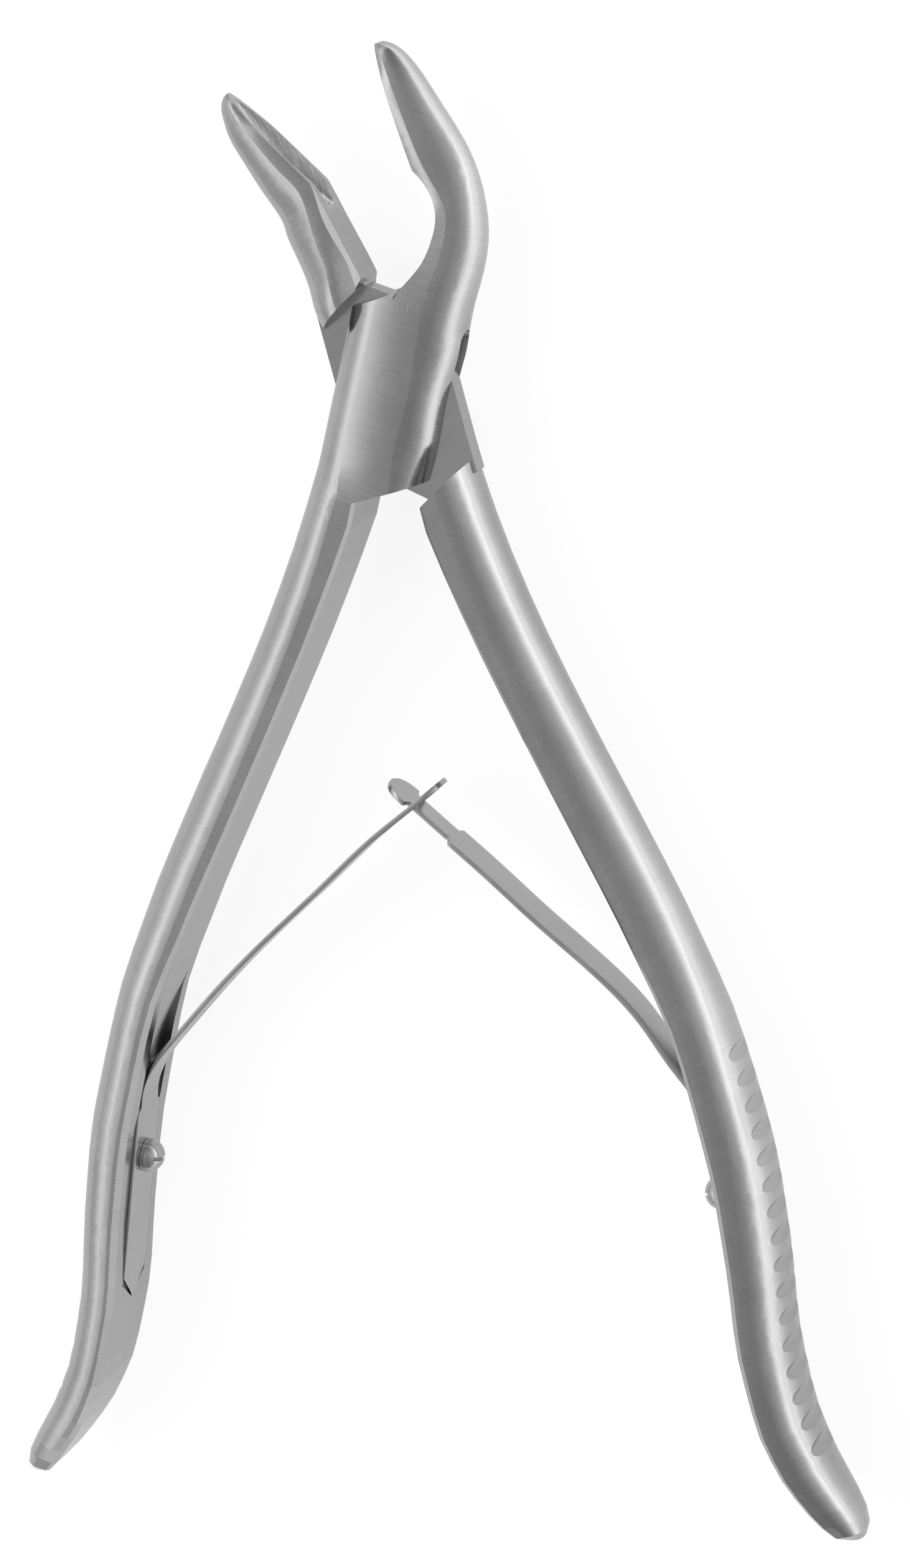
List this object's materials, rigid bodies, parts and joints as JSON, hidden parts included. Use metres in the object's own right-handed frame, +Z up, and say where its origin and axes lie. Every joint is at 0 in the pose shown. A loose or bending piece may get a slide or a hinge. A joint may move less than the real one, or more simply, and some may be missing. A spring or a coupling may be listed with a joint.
{
  "type": "bone rongeur",
  "caption": "Box-joint bone rongeur with curved spoon jaws, notched grips and crossed leaf springs that push the handles open.",
  "frame": {"origin": "axis of the box joint at the flat underside of the box", "axes": "+Y towards the jaws along the line between the open handles, +X to the right half's handle, +Z up along the joint axis"},
  "size_m": [0.1356, 0.2249, 0.0172],
  "materials": {
    "female_half": "satin brushed stainless steel",
    "male_half": "satin brushed stainless steel",
    "pivot_pin": "ground flush, satin stainless steel",
    "left_leaf_spring": "satin spring steel",
    "right_leaf_spring": "satin spring steel",
    "left_spring_screw": "satin turned stainless steel",
    "right_spring_screw": "satin turned stainless steel"
  },
  "bodies": {
    "slotted_half": {"female_half": "female_half", "pivot_pin": "pivot_pin", "left_spring_screw": "left_spring_screw"},
    "tongue_half": {"male_half": "male_half", "right_spring_screw": "right_spring_screw"},
    "left_leaf": {"left_leaf_spring": "left_leaf_spring"},
    "right_leaf": {"right_leaf_spring": "right_leaf_spring"}
  },
  "joints": [
    {"name": "box_joint", "type": "hinge", "parent": "slotted_half", "child": "tongue_half", "pos_m": [0, 0, 0.0065], "axis": [0, 0, -1], "range_deg": [0, 28.6], "stiffness_Nm_per_rad": 0.8},
    {"name": "left_spring_flex", "type": "hinge", "parent": "slotted_half", "child": "left_leaf", "pos_m": [-0.04215, -0.1038, 0.0065], "axis": [0, 0, 1], "range_deg": [0, 17.6], "deforming": ["left_leaf_spring"]},
    {"name": "right_spring_flex", "type": "hinge", "parent": "tongue_half", "child": "right_leaf", "pos_m": [0.04215, -0.1038, 0.0065], "axis": [0, 0, -1], "range_deg": [0, 17.6], "deforming": ["right_leaf_spring"]}
  ],
  "couplings": [
    {"joint": "left_spring_flex", "follows": "box_joint", "ratio": 0.615},
    {"joint": "right_spring_flex", "follows": "box_joint", "ratio": 0.615}
  ]
}
